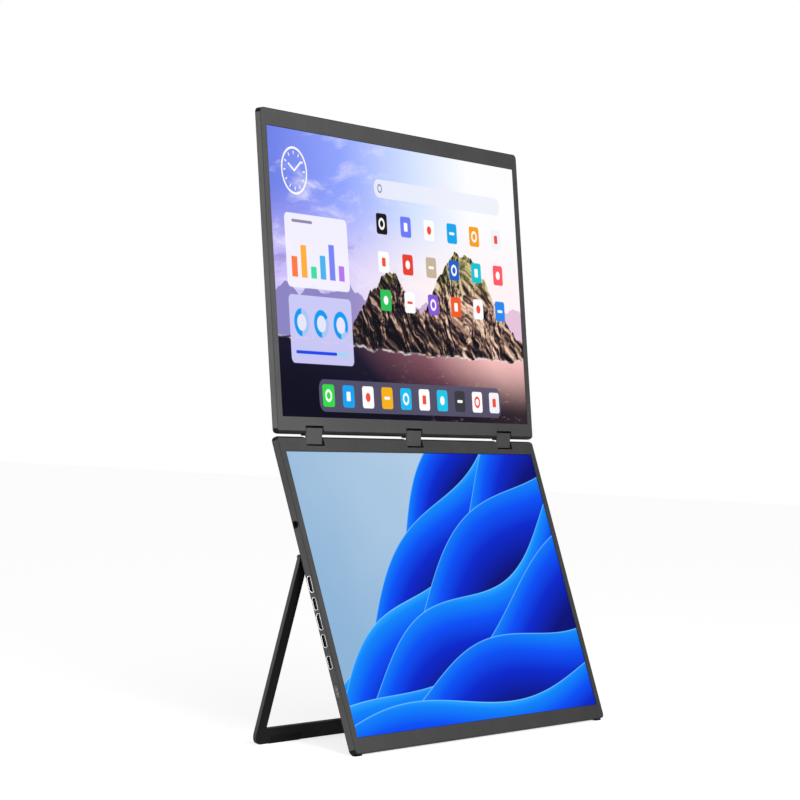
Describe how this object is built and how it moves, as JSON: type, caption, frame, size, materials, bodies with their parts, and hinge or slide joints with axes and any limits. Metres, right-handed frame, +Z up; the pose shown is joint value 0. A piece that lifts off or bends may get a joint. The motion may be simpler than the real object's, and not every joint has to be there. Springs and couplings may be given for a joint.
{
  "type": "portable monitor",
  "caption": "Portable monitor with one slim display above the other, joined by a double hinge, standing on its lower edge and a fold-out frame kickstand.",
  "frame": {"origin": "on the floor under the middle of the whole object as it stands open", "axes": "+Z up, the screens face -Y, and +X is the viewer's right"},
  "size_m": [0.3573, 0.099, 0.422],
  "materials": {
    "casing": "fine matte anodised, dark grey",
    "bezel": "fine matte moulded, dark grey",
    "display": "smooth dark glass, lit from behind",
    "foil": "plain foil",
    "hinge": "matte dark grey paint",
    "stand": "matte black anodised",
    "rubber": "matte black",
    "steel": "plain machined",
    "screw_black": "blackened",
    "socket_metal": "bright plated",
    "jack_plastic": "black",
    "board": "solder mask, green",
    "shield": "tinned sheet",
    "speaker": "black",
    "rocker": "matte dark grey",
    "switch": "black"
  },
  "bodies": {
    "lower_display": {"audio_jack": "jack_plastic", "board_screws": "steel", "lower_bezel": "bezel", "lower_case_screws": "screw_black", "lower_display": "display", "lower_heat_spreader": "foil", "lower_hinge_bracket_centre": "steel", "lower_hinge_bracket_left": "steel", "lower_hinge_bracket_right": "steel", "lower_leaf_screws": "steel", "lower_rear_cover": "casing", "main_board": "board", "mini_hdmi_port_bottom": "socket_metal", "mini_hdmi_port_top": "socket_metal", "panel_foot_left": "rubber", "panel_foot_right": "rubber", "rocker_pin": "steel", "rocker_switches": "switch", "shield_can": "shield", "socket_board": "board", "speaker_left": "speaker", "speaker_right": "speaker", "stand_bracket_left": "steel", "stand_bracket_right": "steel", "stand_pin_left": "steel", "stand_pin_right": "steel", "usb_c_port_bottom": "socket_metal", "usb_c_port_middle": "socket_metal", "usb_c_port_top": "socket_metal"},
    "hinge_link": {"hinge_block_centre": "hinge", "hinge_block_left": "hinge", "hinge_block_right": "hinge", "lower_hinge_shaft_centre": "steel", "lower_hinge_shaft_left": "steel", "lower_hinge_shaft_right": "steel", "lower_shaft_clips": "steel", "upper_hinge_shaft_centre": "steel", "upper_hinge_shaft_left": "steel", "upper_hinge_shaft_right": "steel", "upper_shaft_clips": "steel"},
    "upper_display": {"upper_bezel": "bezel", "upper_case_screws": "screw_black", "upper_display": "display", "upper_driver_board": "board", "upper_heat_spreader": "foil", "upper_hinge_bracket_centre": "steel", "upper_hinge_bracket_left": "steel", "upper_hinge_bracket_right": "steel", "upper_leaf_screws": "steel", "upper_rear_cover": "casing"},
    "kickstand": {"kickstand_frame": "stand", "stand_pad_left": "rubber", "stand_pad_right": "rubber"},
    "rocker": {"rocker_key": "rocker"}
  },
  "joints": [
    {"name": "lower_hinge", "type": "hinge", "parent": "lower_display", "child": "hinge_link", "pos_m": [0, 0.02285, 0.20175], "axis": [1, 0, 0], "range_deg": [-64.1, 70.8]},
    {"name": "upper_hinge", "type": "hinge", "parent": "hinge_link", "child": "upper_display", "pos_m": [0, 0.02285, 0.20855], "axis": [1, 0, 0], "range_deg": [-38.5, 96.4]},
    {"name": "kickstand_hinge", "type": "hinge", "parent": "lower_display", "child": "kickstand", "pos_m": [0, 0.00143, 0.12635], "axis": [1, 0, 0], "range_deg": [-32.8, 57.2]},
    {"name": "rocker_tilt", "type": "hinge", "parent": "lower_display", "child": "rocker", "pos_m": [-0.1756, -0.03262, 0.04079], "axis": [0, -0.9447, 0.328], "range_deg": [-3, 3], "stiffness_Nm_per_rad": 0.02}
  ]
}
